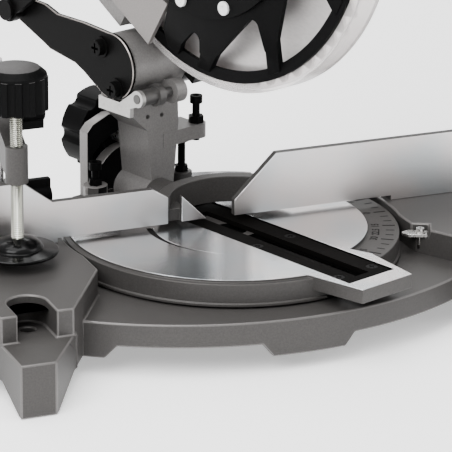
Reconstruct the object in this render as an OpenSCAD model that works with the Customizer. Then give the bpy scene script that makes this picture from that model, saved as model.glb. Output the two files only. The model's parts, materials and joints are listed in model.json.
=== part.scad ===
// Compound mitre saw with a hold-down clamp.
// Frame: X runs along the fence to the operator's right, Y to the back, Z up.
// The origin is the turntable axis on the bench plane.
// The saw stands as it is kept: table swung to the right, head up, no bevel.

/* [Base] */
// Height of the table above the bench
table_h = 50; // [44:1:70]
// Step from the table down to the deck
deck_drop = 17; // [17:0.5:20]
// Thickness of the deck
deck_t = 6; // [4:0.5:8]
// Reach of the deck in front of the turntable axis
deck_front = 127; // [122:1:135]
// Radius of the deck's bowed front edge
deck_arc_r = 220; // [200:5:300]
// Radius of the deck behind the turntable
deck_rear_r = 114; // [110:1:120]
// Depth of the apron wall below the deck
apron_h = 15; // [10:0.5:18]
// Extra depth of the apron's lugs
lug_h = 8; // [4:0.5:8]
// Half length of the front lug
lug_half = 30; // [20:1:40]
// Wall thickness of the base casting
wall_t = 5; // [4:0.5:7]
// Half length of the base
wing_x = 200; // [194:1:230]
// Front edge of the wing tops
wing_front = 105; // [100:1:115]
// Half depth of the wing ends
wing_side = 62; // [50:1:75]
// Inner front corner of a wing, along X
wing_root_x = 106.6; // [104:0.2:112]
// Inner front corner of a wing, along Y
wing_root_y = 48.5; // [45:0.5:55]
// Inner edge of a leg
leg_in_x = 142; // [136:1:145]
// Outer edge of a leg
leg_out_x = 187; // [184:1:192]
// Front edge of a toe
toe_y = 140; // [130:1:150]
// Inner corner of a toe
toe_in_x = 165; // [158:1:170]
// Width of the notch over a bench bolt
notch_w = 24; // [18:1:28]
// Half spacing of the bench bolts along X
bolt_x = 164.5; // [162:0.5:167]
// Half spacing of the bench bolts along Y
bolt_y = 86; // [82:1:90]
// Diameter of the bench bolt holes
bolt_hole_d = 9; // [6:0.5:11]

/* [Turntable] */
// Swing of the table from square, as it stands
mitre_rest = 20; // [0:1:40]
// Outer radius of the turntable
tt_r = 106.5; // [104:0.5:107.5]
// Height of the turntable
tt_h = 15.7; // [14.5:0.1:16]
// Gap between turntable and wings
tt_gap = 2.5; // [1.5:0.5:3]
// Radius of the machined top
bright_r = 103; // [98:0.5:104]
// Drop of the rim round the machined top
rim_drop = 1.6; // [0.8:0.2:2.4]
// Width of the sunk scale ring
scale_w = 20; // [15:1:24]
// Drop of the scale ring
scale_drop = 2.5; // [1.5:0.5:3.5]
// Reach of the front arm
arm_reach = 139.5; // [136:0.5:146]
// Half width of the arm at its tip
arm_tip = 21; // [20:0.5:24]
// Half width of the arm at its root
arm_root = 28.5; // [26:0.5:34]
// Thickness of the arm at its tip
arm_t = 9; // [8:0.5:12]
// Thickness of the turntable's top
plate_t = 6.5; // [6:0.5:8]
// Half width of the kerf insert
insert_half = 19; // [15:0.5:19.5]
// Front end of the kerf insert
insert_front = 126; // [122:1:130]
// Back end of the kerf insert
insert_back = 40; // [34:1:44]
// Thickness of the kerf insert
insert_t = 3; // [2:0.5:4]
// Depth of the insert's face below the table
insert_sink = 1; // [0.5:0.1:1.5]
// Width of the kerf slot
kerf_w = 11; // [8:0.5:14]
// Diameter of the turntable's centre bolt
centre_bolt_d = 12; // [8:0.5:14]

/* [Fence] */
// Fence face behind the turntable axis
fence_y = 4; // [2:0.5:8]
// Thickness of the fence
fence_t = 5; // [4:0.5:7]
// Gap between the fence and the turntable
fence_gap = 3; // [2:0.5:4]
// Height of the low stretch of the left fence
fence_low = 27; // [22:0.5:30]
// Height of the tall stretches of the fence
fence_high = 41.5; // [36:0.5:55]
// Left fence's end beside the blade
left_end = 40.5; // [36:0.5:48]
// Right fence's end beside the blade
right_end = 4.2; // [4:0.1:8]
// Reach of the fence to each side
fence_x = 198; // [190:1:200]
// Inner radius of the bridge behind the blade
bridge_r = 42; // [40:0.5:46]
// Wall thickness of the bridge
bridge_t = 8; // [5:0.5:9]
// Height of the bridge above the table
bridge_h = 20; // [12:0.5:22]
// Depth of the fence's bolted flange
flange_w = 26; // [22:1:30]
// Thickness of the fence's bolted flange
flange_t = 7; // [5:0.5:9]

/* [Clamp] */
// Clamp post and screw, along X
clamp_x = 148.5; // [146:0.5:152]
// Clamp post behind the fence, along Y
post_y = 25; // [24:0.5:28]
// Diameter of the clamp post
post_d = 14; // [10:0.5:16]
// Top of the clamp post above the table
post_top = 116; // [112:1:130]
// Clamp screw in front of the fence, along Y
screw_y = 22; // [22:0.5:28]
// Diameter of the clamp screw
screw_d = 8; // [6:0.5:9]
// Gap under the clamp pad
pad_gap = 7; // [3:0.5:10]
// Radius of the clamp pad's flange
pad_r = 25; // [15:0.5:25]
// Radius of the clamp knob
knob_r = 19.6; // [15:0.2:22]
// Height of the clamp knob
knob_h = 28; // [20:1:32]

/* [Bevel arm] */
// Front face of the post behind the turntable axis
post_front = 70; // [68:0.5:74]
// Depth of the post
post_depth = 29.7; // [26:0.1:30]
// Width of the post at its foot
post_foot_w = 16.7; // [14:0.1:20]
// Width of the post's column at its top
post_col_w = 26.2; // [22:0.1:30]
// Offset of the post's centre to the right of the blade plane
post_off = 4.8; // [3:0.1:6]
// Reach of the latch block to the left of the blade plane
block_left = 22; // [20:0.5:24]
// Head pivot behind the turntable axis
pivot_y = 85.5; // [84:0.5:87]
// Head pivot above the table
pivot_z = 88.5; // [86:0.5:92]
// Radius of the pivot barrel
barrel_r = 20.5; // [18:0.5:21]
// Diameter of the head pivot shaft
pivot_d = 16; // [12:0.5:18]
// Diameter of the bevel pivot shaft
bevel_d = 12; // [10:0.5:14]
// Radius of the bevel lock's arc slot
quad_r = 33.5; // [33:0.5:36]
// Thickness of the bevel quadrant
quad_t = 8; // [6:0.5:10]
// Radius of the bevel lock knob
lock_r = 27; // [22:0.5:30]

/* [Head] */
// Angle of the head above level, as it stands
head_rest = 58.7; // [58:0.1:60]
// Diameter of the saw blade
blade_d = 255; // [240:1:255]
// Thickness of the saw blade
blade_t = 2.4; // [1.6:0.2:3]
// Number of teeth on the blade
teeth = 60; // [24:12:72]
// Reach of the lower guard's rim past the teeth
rim_gap = 3.5; // [3:0.5:5]
// Gap between the lower guard's rim and the pivot barrel
barrel_gap = 2; // [1.5:0.5:4]
// Inset of the guard's ring from its rim
ring_inset = 6.5; // [5:0.5:9]
// Width of the guard's ring
ring_w = 7.5; // [6:0.5:10]
// Depth of the lower guard's dish
dish = 15.5; // [10:0.5:17]
// Radius of the guard's hub disc
hub_r = 81.8; // [78:0.2:84]
// Reach of the upper guard past the lower guard's rim
upper_gap = 6; // [5.5:0.5:10]
// Radius of the motor housing
motor_r = 45; // [40:0.5:46]
// Length of the motor housing
motor_l = 118; // [100:1:140]
// Thickness of the handle
handle_t = 32; // [26:1:36]

/* [Hidden] */

$fn = 64;

// Clearances
run_fit = 0.05;
free_fit = 0.3;

// Levels
deck_z = table_h - deck_drop;
wing_z = deck_z - apron_h - lug_h;
tt_z = table_h - tt_h;
fence_z = table_h + fence_gap;

// Finishes
cast_grey = [0.36, 0.345, 0.335];
dark_grey = [0.27, 0.265, 0.26];
champagne = [0.68, 0.65, 0.62];
machined = [0.76, 0.75, 0.74];
steel = [0.72, 0.72, 0.7];
black = [0.08, 0.08, 0.085];
clear = [0.85, 0.85, 0.86, 0.4];

// Places on the table, worked from the sizes above
wing_clear_r = tt_r + tt_gap;
post_back = post_front + post_depth;
quad_front = post_back + free_fit;
quad_back = quad_front + quad_t;
bevel_max = 38;
col_top = 45.5;
quad_top = 51;
quad_left = 33.5;
quad_right = 40;
foot_r = 12;
stud_d = 10;
stud_hold = 14;
stud_a = 93;
stop_x = 33;
stop_y = 93;
zero_x = 34;
zero_y = 85;
lug_z = 31.5;
lug_t = 9.5;
depth_x = 37.6;
depth_y = 75;
depth_top = 59.3;
block_z = 58;
block_top = 67;
bracket_r = 21.7;
latch_y = 61.3;
latch_z = 71.9;
latch_r = 3;
barrel_left = 23;
barrel_right = 20.5;
bracket_t = 3;
bracket_gap = 2.6;
hub_x = barrel_right + free_fit;
hub_w = 22;
link_y = 92.1;
link_z = 20;
link_r = 22;
link_a = 198.8;
link_t = 5;

// Places on the head, worked from the sizes above
blade_r = blade_d / 2;
guard_r = blade_r + rim_gap;
ring_r = guard_r - ring_inset;
upper_r = guard_r + upper_gap;
head_l = guard_r + barrel_gap + barrel_r;
blade_bore_r = 15;
case_x = 20;
case_w = 27;
case_r = 52;
boss_r = 30;
upper_x = 20;
upper_left = 30;
upper_t = 3;
plate_x0 = -8.5;
guard_plate_t = 2.5;
hub_t = 3;
hub_face = plate_x0 - dish;
rim_x = plate_x0 + guard_plate_t;
rim_right = 12;
rim_t = 2;
flange_r = 25;
motor_a = 24;
motor_b = 48.4;
motor_x = case_x + case_w;
cap_l = 20;
gear_x = 26;
gear_w = 14;
gear_r = 43.6;
pinion_r = 9.8;
handle_x = 8;
handle_a0 = 106;
handle_a1 = 214;
handle_b0 = 52;
handle_b1 = 138;
grip_t = 30;
handle_round = 24;

// Frames of the moving groups
module in_table() rotate([0, 0, mitre_rest]) children();
module in_pivot() in_table() translate([0, pivot_y, table_h + pivot_z]) children();
module in_head() in_pivot() rotate([-head_rest, 0, 0]) children();
module in_spindle() in_head() translate([0, -head_l, 0]) children();

// A flat shape in the Y Z plane, raised along X from x0
module plate_x(x0, t) translate([x0, 0, 0]) rotate([90, 0, 90]) linear_extrude(t) children();

// A flat shape in the X Z plane, raised along Y from y0
module plate_y(y0, t) translate([0, y0 + t, 0]) rotate([90, 0, 0]) linear_extrude(t) children();

// Round bars along X and along Y
module bar_x(x0, x1, r) translate([x0, 0, 0]) rotate([0, 90, 0]) cylinder(h = x1 - x0, r = r);
module bar_y(y0, y1, r) translate([0, y0, 0]) rotate([-90, 0, 0]) cylinder(h = y1 - y0, r = r);

// A band turned about X, from angle b0 to b1 counted from the front upwards
module sector_x(b0, b1)
    rotate([0, 90, 0]) rotate([0, 0, -90 - b1]) rotate_extrude(angle = b1 - b0) children();

module rounded_box_2d(x0, y0, x1, y1, r) {
    translate([x0 + r, y0]) square([x1 - x0 - 2 * r, y1 - y0]);
    translate([x0, y0 + r]) square([x1 - x0, y1 - y0 - 2 * r]);
    for (x = [x0 + r, x1 - r], y = [y0 + r, y1 - r]) translate([x, y]) circle(r);
}

// Socket head screw: head on top, shank down, tip at z = 0
module cap_screw(d, length) {
    head_h = d;
    difference() {
        union() {
            cylinder(h = length, d = d);
            translate([0, 0, length]) cylinder(h = head_h, d = 1.65 * d);
        }
        translate([0, 0, length + 0.45 * head_h]) cylinder(h = head_h, d = 0.95 * d, $fn = 6);
    }
}

// Cross head screw with its washer, head up, tip at z = -length
module pan_screw(d, length, washer_t) {
    translate([0, 0, -length]) cylinder(h = length + washer_t, d = d);
    cylinder(h = washer_t, d = 2.3 * d);
    difference() {
        translate([0, 0, washer_t]) cylinder(h = 0.75 * d, d = 1.75 * d);
        for (a = [0, 90]) translate([0, 0, washer_t + 0.75 * d]) rotate(a)
            cube([1.1 * d, 0.25 * d, 0.8 * d], center = true);
    }
}

// Nut with a plain bore
module nut(d, clear) difference() {
    cylinder(h = 0.8 * d, d = 1.8 * d, $fn = 6);
    translate([0, 0, -1]) cylinder(h = 0.8 * d + 2, d = d + 2 * clear);
}

// Knob with scalloped edge, axis along Z
module scalloped(r, h, n, bite) difference() {
    cylinder(h = h, r = r);
    for (i = [0 : n - 1]) rotate(360 * (i + 0.5) / n) translate([r + bite * 0.45, 0, -1])
        cylinder(h = h + 2, r = bite);
}

// Two-winged thumb knob, axis along Z from its stud's shoulder
module wing_knob(hub, h, span, t) {
    cylinder(h = h, r = hub);
    for (s = [-1, 1]) translate([0, 0, h / 2]) intersection() {
        translate([s * span / 4, 0, 0]) cube([span / 2, t, h], center = true);
        translate([s * (span - h) / 2, 0, 0]) rotate([90, 0, 0])
            cylinder(h = t + 1, r = h * 0.72, center = true);
    }
}

// Base

wing_points = [
    [wing_root_x, -wing_root_y], [leg_in_x, -wing_front], [leg_out_x, -wing_front], [wing_x, -wing_side],
    [wing_x, wing_side], [leg_out_x, wing_front], [leg_in_x, wing_front], [wing_root_x, wing_root_y]
];
leg_points = [
    [leg_in_x - 2, -wing_front + 3], [toe_in_x, -toe_y], [leg_out_x, -toe_y], [leg_out_x, -wing_front + 3]
];
wing_mid = (wing_root_x + wing_x) / 2 + 8;
cavity_points = [
    for (p = wing_points) [
        wing_mid + (p[0] - wing_mid) * (1 - 1.6 * wall_t / (wing_x - wing_mid)),
        p[1] * (1 - 1.6 * wall_t / wing_side)
    ]
];

module deck_shape(inset) {
    intersection() {
        translate([0, deck_arc_r - deck_front]) circle(deck_arc_r - inset, $fn = 128);
        translate([-leg_in_x + inset, -deck_front]) square([2 * (leg_in_x - inset), deck_front]);
    }
    circle(deck_rear_r - inset);
}

module deck_ring(z0, z1) translate([0, 0, z0]) linear_extrude(z1 - z0) difference() {
    deck_shape(0);
    deck_shape(wall_t);
}

// Trapezoid lug hanging from the apron, between x0 and x1
module apron_lug(x0, x1) intersection() {
    deck_ring(wing_z, wing_z + lug_h);
    plate_y(-deck_front - 1, deck_front) polygon([
        [x0, wing_z + lug_h + 1], [x1, wing_z + lug_h + 1], [x1, wing_z + lug_h],
        [x1 - 0.8 * lug_h, wing_z], [x0 + 0.8 * lug_h, wing_z], [x0, wing_z + lug_h]
    ]);
}

module at_corners() for (mx = [0, 1], my = [0, 1]) mirror([mx, 0, 0]) mirror([0, my, 0]) children();
module at_sides() for (mx = [0, 1]) mirror([mx, 0, 0]) children();

// One corner leg: a toe that slopes up behind its pad
toe_pad = 4;
module leg() difference() {
    linear_extrude(deck_z) polygon(leg_points);
    translate([leg_in_x - 10, 0, 0]) rotate([90, 0, 90]) linear_extrude(leg_out_x) polygon([
        [-toe_y + toe_pad, -1], [-toe_y + toe_pad, 0], [-wing_front, wing_z],
        [-wing_front + 10, wing_z], [-wing_front + 10, -1]
    ]);
}

module base_casting() color(cast_grey) difference() {
    union() {
        translate([0, 0, deck_z - deck_t]) linear_extrude(deck_t) deck_shape(0);
        deck_ring(deck_z - apron_h, deck_z);
        apron_lug(-lug_half, lug_half);
        at_sides() apron_lug(leg_in_x - lug_half, leg_in_x + lug_half);
        at_sides() difference() {
            translate([0, 0, wing_z]) linear_extrude(table_h - wing_z) polygon(wing_points);
            translate([0, 0, wing_z - 1]) linear_extrude(table_h - wing_z + 1 - wall_t)
                polygon(cavity_points);
        }
        at_corners() leg();
        at_corners() translate([bolt_x, -bolt_y, deck_z - 2 * deck_t]) {
            cylinder(h = 2 * deck_t + deck_drop - 1, r = notch_w / 2 + wall_t);
            translate([-notch_w / 2 - wall_t, bolt_y - wing_front + 1, 2 * deck_t - 1])
                cube([notch_w + 2 * wall_t, wing_front - bolt_y - 1, deck_drop]);
        }
        at_corners() translate([bolt_x, -bolt_y, 0]) cylinder(h = deck_z, r = bolt_hole_d / 2 + wall_t);
        translate([0, 0, wing_z]) cylinder(h = tt_z - wing_z - run_fit, r = 2 * centre_bolt_d);
        at_sides() translate([clamp_x, post_y, wing_z]) cylinder(h = table_h - wing_z, r = post_d);
        intersection() {
            translate([0, 0, wing_z]) linear_extrude(table_h - wing_z) polygon(wing_points);
            pointer_place() translate([0, 0, -pointer_seat_h])
                cylinder(h = pointer_seat_h + pocket_h, r = pointer_seat_r);
        }
    }
    translate([0, 0, deck_z]) difference() {
        cylinder(h = deck_drop + 1, r = wing_clear_r, $fn = 128);
        translate([0, 0, -1]) cylinder(h = tt_z - deck_z - run_fit + 1, r = 2 * centre_bolt_d);
    }
    at_corners() translate([bolt_x, -bolt_y, 0]) {
        translate([0, 0, deck_z]) cylinder(h = deck_drop + 1, d = notch_w);
        translate([-notch_w / 2, -toe_y, deck_z]) cube([notch_w, toe_y, deck_drop + 1]);
        translate([0, 0, -1]) cylinder(h = table_h, d = bolt_hole_d);
    }
    translate([0, 0, -1]) cylinder(h = table_h, d = centre_bolt_d + 2 * run_fit);
    translate([0, 0, wing_z - 1]) cylinder(h = centre_bolt_d, d = 2.2 * centre_bolt_d);
    fence_bolt_places() translate([0, 0, -20]) cylinder(h = 21, d = fence_bolt_d + 2 * run_fit);
    at_sides() translate([clamp_x, post_y, table_h - 14]) cylinder(h = 15, d = post_d + 2 * run_fit);
    pointer_place() translate([-pocket_in, -pocket_front, -run_fit])
        cube([pocket_in + pocket_out, pocket_front + pocket_back, pocket_h + 1]);
    pointer_place() translate([0, 0, -pointer_screw_l - 1])
        cylinder(h = pointer_screw_l + 2, d = pointer_screw_d + 2 * run_fit);
}

module centre_bolt() color(steel) {
    translate([0, 0, wing_z + 1]) cylinder(h = table_h - plate_t - 1 - wing_z - 1, d = centre_bolt_d);
    translate([0, 0, bolt_seat_z + run_fit])
        cylinder(h = table_h - plate_t - 1 - bolt_seat_z - run_fit, d = 1.7 * centre_bolt_d);
    translate([0, 0, wing_z + centre_bolt_d - 1 - 0.7 * centre_bolt_d - run_fit])
        cylinder(h = 0.7 * centre_bolt_d, d = 1.9 * centre_bolt_d, $fn = 6);
}

// Fence

fence_bolt_d = 6;
fence_bolt_l = 16;
module fence_bolt_places()
    at_sides() for (x = [wing_clear_r + 10, fence_x - 16])
        translate([x, fence_y + fence_t + flange_w / 2, table_h]) children();

wing_meet = wing_clear_r + 4.5;
left_profile = [
    [-fence_x, table_h], [-fence_x, table_h + fence_high], [-wing_meet - 22.5, table_h + fence_high],
    [-wing_meet - 3.5, table_h + fence_low], [-left_end - 10.5, table_h + fence_low],
    [-left_end, table_h + fence_low - 6.5], [-left_end, fence_z],
    [-wing_meet, fence_z], [-wing_meet, table_h]
];
right_nose = 10.2;
right_profile = [
    [right_end, fence_z], [right_end, fence_z + right_nose],
    [right_end + fence_high - fence_gap - right_nose, table_h + fence_high],
    [fence_x, table_h + fence_high], [fence_x, table_h], [wing_meet, table_h], [wing_meet, fence_z]
];
gusset_left = 31;
gusset_right = 14;
socket_h = 36;
spare_h = 26;

module fence() color(machined) difference() {
    union() {
        plate_y(fence_y, fence_t) polygon(left_profile);
        plate_y(fence_y, fence_t) polygon(right_profile);
        at_sides() translate([wing_meet, fence_y, table_h])
            cube([fence_x - wing_meet, fence_t + flange_w, flange_t]);
        translate([0, 0, fence_z]) linear_extrude(bridge_h - fence_gap) intersection() {
            translate([0, -10]) difference() {
                circle(bridge_r + bridge_t);
                circle(bridge_r);
            }
            translate([-fence_x, fence_y + fence_t - 0.5]) square([2 * fence_x, fence_x]);
        }
        plate_y(fence_y + 1, fence_t - 1) polygon([
            [-gusset_left, fence_z], [-gusset_left, fence_z + gusset_left - gusset_right],
            [-gusset_right, fence_z]
        ]);
        translate([-left_end, fence_y + fence_t - 0.5, fence_z]) cube([left_end - gusset_left + 3, 13, 8]);
        translate([-clamp_x, post_y, table_h]) cylinder(h = socket_h, d = post_d + 12);
        translate([clamp_x, post_y, table_h]) cylinder(h = spare_h, d = post_d + 12);
    }
    at_sides() translate([clamp_x, post_y, table_h - 1])
        cylinder(h = socket_h + 2, d = post_d + 2 * run_fit);
    translate([-clamp_x, post_y, table_h + lock_z]) bar_x(0, post_d + 8, lock_d / 2 + run_fit);
    translate([clamp_x - post_d - 8, post_y, table_h + lock_z - socket_h + spare_h])
        bar_x(0, post_d + 8, lock_d / 2 + run_fit);
    fence_bolt_places() translate([0, 0, -1]) cylinder(h = flange_t + 2, d = fence_bolt_d + 2 * run_fit);
}

module fence_bolts() color(black)
    fence_bolt_places() translate([0, 0, flange_t - fence_bolt_l]) cap_screw(fence_bolt_d, fence_bolt_l);

// Mitre pointer

// It lies in a pocket cut from the right wing's corner
pointer_a = -24.5;
pointer_r = 119.5;
pointer_t = 2;
pointer_w = 9;
pointer_seat_h = 12;
pointer_screw_d = 3;
pointer_screw_l = 8;
pointer_seat_r = 20;
pocket_h = 5.5;
pocket_in = 16;
pocket_out = 6;
pocket_front = 12;
pocket_back = 7;
pointer_nose = pointer_r - wing_clear_r + 1;
module pointer_place() rotate(pointer_a) translate([pointer_r, 0, table_h - pocket_h]) children();

module mitre_pointer() color(machined) pointer_place() difference() {
    linear_extrude(pointer_t) polygon([
        [-pointer_nose, -1], [-pointer_nose, 1], [-pointer_nose + 4, pointer_w / 2],
        [pointer_w / 2, pointer_w / 2], [pointer_w / 2, -pointer_w / 2], [-pointer_nose + 4, -pointer_w / 2]
    ]);
    translate([0, 0, -1]) cylinder(h = pointer_t + 2, d = pointer_screw_d + 2 * run_fit);
}

module pointer_screw() color(steel)
    pointer_place() translate([0, 0, pointer_t]) pan_screw(pointer_screw_d, pointer_screw_l, 0.6);

// Clamp

lock_d = 8;
lock_z = 25;
lock_grip = 17;
lock_span = 22;
collar_z = 72;
collar_h = 26;
collar_r = post_d / 2 + 7;
boss_z = 52;
boss_h = 23;
screw_boss_d = screw_d + 6;
thumb_z = 80;
pad_z = table_h + pad_gap;
flange_h = 3;
dome_r = 15.5;
dome_h = 7;
clamp_knob_z = table_h + boss_z + boss_h + 23;

module at_post() translate([-clamp_x, post_y, 0]) children();
module at_screw() translate([-clamp_x, -screw_y, 0]) children();

module clamp_post() color(steel) at_post() translate([0, 0, table_h - 13])
    cylinder(h = post_top + 13, d = post_d);

// Screw with a winged grip, along X from the given start
module wing_screw(x0, x1) {
    bar_x(x0, x1, lock_d / 2);
    translate([x1, 0, 0]) rotate([0, 90, 0]) wing_knob(lock_d * 0.75, lock_grip, lock_span, 5);
}

module post_lock_knob() color(black) at_post() translate([0, 0, table_h + lock_z])
    wing_screw(post_d / 2 + free_fit, post_d / 2 + 13);

module clamp_arm() color(cast_grey) difference() {
    union() {
        at_post() translate([0, 0, table_h + collar_z]) cylinder(h = collar_h, r = collar_r);
        translate([-clamp_x, 0, table_h]) plate_x(-6.5, 13) polygon([
            [post_y - post_d / 2, collar_z + 3], [post_y - post_d / 2, collar_z + collar_h - 2],
            [post_y - collar_r - 2, collar_z + collar_h - 4], [-screw_y, boss_z + boss_h - 1],
            [-screw_y, boss_z + 4]
        ]);
        at_screw() translate([0, 0, table_h + boss_z]) cylinder(h = boss_h, d = screw_boss_d);
    }
    at_post() translate([0, 0, table_h]) cylinder(h = post_top + 5, d = post_d + 2 * run_fit);
    at_screw() translate([0, 0, table_h]) cylinder(h = post_top + 5, d = screw_d + 2 * run_fit);
    at_post() translate([0, 0, table_h + thumb_z]) bar_x(0, collar_r + 5, lock_d / 2 + run_fit);
}

module clamp_thumb_knob() color(black) at_post() translate([0, 0, table_h + thumb_z])
    wing_screw(post_d / 2 + free_fit, post_d / 2 + 9);

module clamp_pad() color(black) at_screw() difference() {
    translate([0, 0, pad_z]) rotate_extrude() polygon(concat(
        [[0, 0], [pad_r - 1, 0], [pad_r, 1], [pad_r, flange_h - 0.6], [dome_r, flange_h + 0.6]],
        [for (a = [15 : 15 : 75]) [dome_r * cos(a), flange_h + 0.6 + dome_h * sin(a)]],
        [[0, flange_h + 0.6 + dome_h]]
    ));
    translate([0, 0, pad_z + flange_h]) cylinder(h = 2 * dome_h, d = screw_d + 2 * run_fit);
}

module clamp_rod() color(steel) at_screw() translate([0, 0, pad_z + flange_h + run_fit])
    cylinder(h = clamp_knob_z + 18 - pad_z - flange_h, d = screw_d);

module clamp_knob() color(black) at_screw() translate([0, 0, clamp_knob_z]) difference() {
    union() {
        scalloped(knob_r, knob_h - 7, 14, 3);
        translate([0, 0, knob_h - 7]) rotate_extrude() polygon([
            [0, 0], [knob_r - 0.8, 0], [knob_r - 0.8, 1.5], [knob_r * 0.75, 5], [knob_r * 0.4, 6.6], [0, 7]
        ]);
    }
    translate([0, 0, -1]) cylinder(h = 19 + run_fit, d = screw_d + 2 * run_fit);
}

// Turntable

bolt_seat_z = table_h - plate_t - 8;
hub_boss_r = 2 * centre_bolt_d;
slot_back = 16;
arm_y = -sqrt(tt_r * tt_r - arm_root * arm_root);
scale_from = -74;
scale_to = 40;

// Crescent groove in the table's face
groove_r = 54;
groove_w = 4;
groove_t = 0.8;
groove_from = 150;
groove_to = 218;
groove_n = 12;
function groove_point(t, w) =
    (groove_r + groove_w / 2 * t * t - w * (1 - t)) * [
        cos(groove_from + (groove_to - groove_from) * t),
        sin(groove_from + (groove_to - groove_from) * t)
    ];
module groove_2d() polygon(concat(
    [for (i = [0 : groove_n]) groove_point(i / groove_n, 0)],
    [for (i = [groove_n - 1 : -1 : 0]) groove_point(i / groove_n, groove_w)]
));

// Outline of the turntable's top with its arm
module arm_shape(inset) polygon([
    [-arm_root + inset, arm_y + 8], [-arm_tip + inset, -arm_reach + inset],
    [arm_tip - inset, -arm_reach + inset], [arm_root - inset, arm_y + 8]
]);

// Ring segment between two angles, counted from +X
module ring_2d(r0, r1, a0, a1) intersection() {
    difference() {
        circle(r1, $fn = 128);
        circle(r0, $fn = 128);
    }
    polygon(concat(
        [[0, 0]],
        [for (i = [0 : 8]) let (a = a0 + (a1 - a0) * i / 8) 1.5 * r1 * [cos(a), sin(a)]]
    ));
}

// Bevel quadrant, seen from the front, and its arc slot
slot_half = stud_d / 2 + 2 * free_fit;
slot_turn = bevel_max + 5;
quad_slope = 9;
module quadrant_2d() polygon([
    [-quad_left, -rim_drop], [-quad_left, quad_top - quad_slope],
    [-quad_left + quad_slope / 2, quad_top - quad_slope / 2], [-quad_left + 2 * quad_slope, quad_top],
    [quad_right - quad_slope, quad_top], [quad_right, quad_top - quad_slope], [quad_right, -rim_drop]
]);
module quad_slot() {
    plate_y(quad_front - 1, quad_t + 2)
        ring_2d(quad_r - slot_half, quad_r + slot_half, stud_a - 3, stud_a + slot_turn);
    for (a = [stud_a - 3, stud_a + slot_turn]) translate([quad_r * cos(a), 0, quad_r * sin(a)])
        bar_y(quad_front - 2, quad_back + 2, slot_half + 0.01);
}

module turntable() color(machined) in_table() difference() {
    union() {
        difference() {
            union() {
                translate([0, 0, tt_z]) cylinder(h = tt_h - rim_drop, r = tt_r, $fn = 128);
                translate([0, 0, tt_z]) cylinder(h = tt_h, r = bright_r, $fn = 128);
                translate([0, 0, tt_z]) cylinder(h = 2, r = tt_r + 1, $fn = 128);
                translate([0, 0, table_h - arm_t]) linear_extrude(arm_t) arm_shape(0);
            }
            translate([0, 0, table_h - scale_drop]) linear_extrude(scale_drop + 1)
                ring_2d(tt_r - scale_w, tt_r + 2, scale_from, scale_to);
            translate([0, 0, tt_z - 1]) cylinder(h = tt_h - plate_t + 1, r = tt_r - wall_t, $fn = 128);
        }
        translate([0, 0, tt_z]) cylinder(h = tt_h - 1, r = hub_boss_r);
        translate([-3 * foot_r / 2, post_front - 15, tt_z])
            cube([3 * foot_r, quad_back - post_front + 14, tt_h - rim_drop]);
        translate([0, 0, table_h]) plate_y(quad_front, quad_t) quadrant_2d();
        translate([0, 0, tt_z]) linear_extrude(tt_h - rim_drop)
            translate([-quad_right, tt_r * 0.8]) square([2 * quad_right, quad_back - tt_r * 0.8]);
        translate([0, post_front - free_fit, table_h]) bar_y(-14, 0, bevel_d);
        translate([-bevel_d, post_front - free_fit - 14, tt_z]) cube([2 * bevel_d, 14, tt_h]);
        translate([-stop_x, stop_y, tt_z]) cylinder(h = tt_h + stop_boss, r = 8);
        translate([zero_x, zero_y, tt_z]) cylinder(h = tt_h + zero_boss, r = 7);
    }
    translate([-insert_half, -insert_front, table_h - insert_t - insert_sink])
        cube([2 * insert_half, insert_front + insert_back, insert_t + insert_sink + 20]);
    translate([-kerf_w / 2 - 1.5, -insert_front + 4, tt_z - 1])
        cube([kerf_w + 3, insert_front - 4 - slot_back, tt_h + 2]);
    translate([0, 0, table_h - groove_t]) linear_extrude(groove_t + 1) groove_2d();
    insert_screw_places() translate([0, 0, -insert_t - 6])
        cylinder(h = 7, d = insert_screw_d + 2 * run_fit);
    translate([0, 0, bolt_seat_z]) cylinder(h = tt_h, d = 1.7 * centre_bolt_d + 1);
    translate([0, 0, tt_z - 1]) cylinder(h = tt_h, d = centre_bolt_d + 2 * run_fit);
    translate([0, 0, table_h]) bar_y(post_front - free_fit, quad_front, foot_r + 2 * free_fit);
    translate([-foot_r - 2 * free_fit, post_front - free_fit, table_h])
        cube([2 * foot_r + 4 * free_fit, quad_front - post_front + free_fit, 30]);
    translate([0, 0, table_h]) bar_y(post_front - 20, quad_back + 5, bevel_d / 2 + run_fit);
    translate([0, 0, table_h]) quad_slot();
    translate([-stop_x, stop_y, table_h - 8]) cylinder(h = 40, d = stop_d + 2 * run_fit);
    translate([zero_x, zero_y, table_h - 8]) cylinder(h = 40, d = stop_d + 2 * run_fit);
}

insert_screw_d = 3.5;
module insert_screw_places() for (x = [-1, 1] * (insert_half - 5), y = [-insert_front + 14, -40])
    translate([x, y, table_h - insert_sink]) children();

module kerf_insert() color(black) in_table() difference() {
    translate([-insert_half + free_fit, -insert_front + free_fit, table_h - insert_sink - insert_t])
        cube([2 * (insert_half - free_fit), insert_front + insert_back - 2 * free_fit, insert_t]);
    translate([-kerf_w / 2, -insert_front + 8, table_h - insert_sink - insert_t - 1])
        cube([kerf_w, insert_front - 8 + insert_back - 12, insert_t + 2]);
    insert_screw_places() translate([0, 0, -insert_t - 1]) {
        cylinder(h = insert_t + 2, d = insert_screw_d + 2 * run_fit);
        translate([0, 0, insert_t - 0.8]) cylinder(h = 2, d = 2.2 * insert_screw_d);
    }
}

module insert_screws() color(steel) in_table() insert_screw_places() difference() {
    union() {
        translate([0, 0, -insert_t - 5]) cylinder(h = insert_t + 4.8, d = insert_screw_d);
        translate([0, 0, -1.8 + run_fit]) cylinder(h = 1.6, d = 2.2 * insert_screw_d - 0.4);
    }
    for (a = [0, 90]) rotate(a) cube([4.5, 0.9, 1.2], center = true);
}

// Bevel stops: cap screws that stand on the turntable with lock nuts

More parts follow.
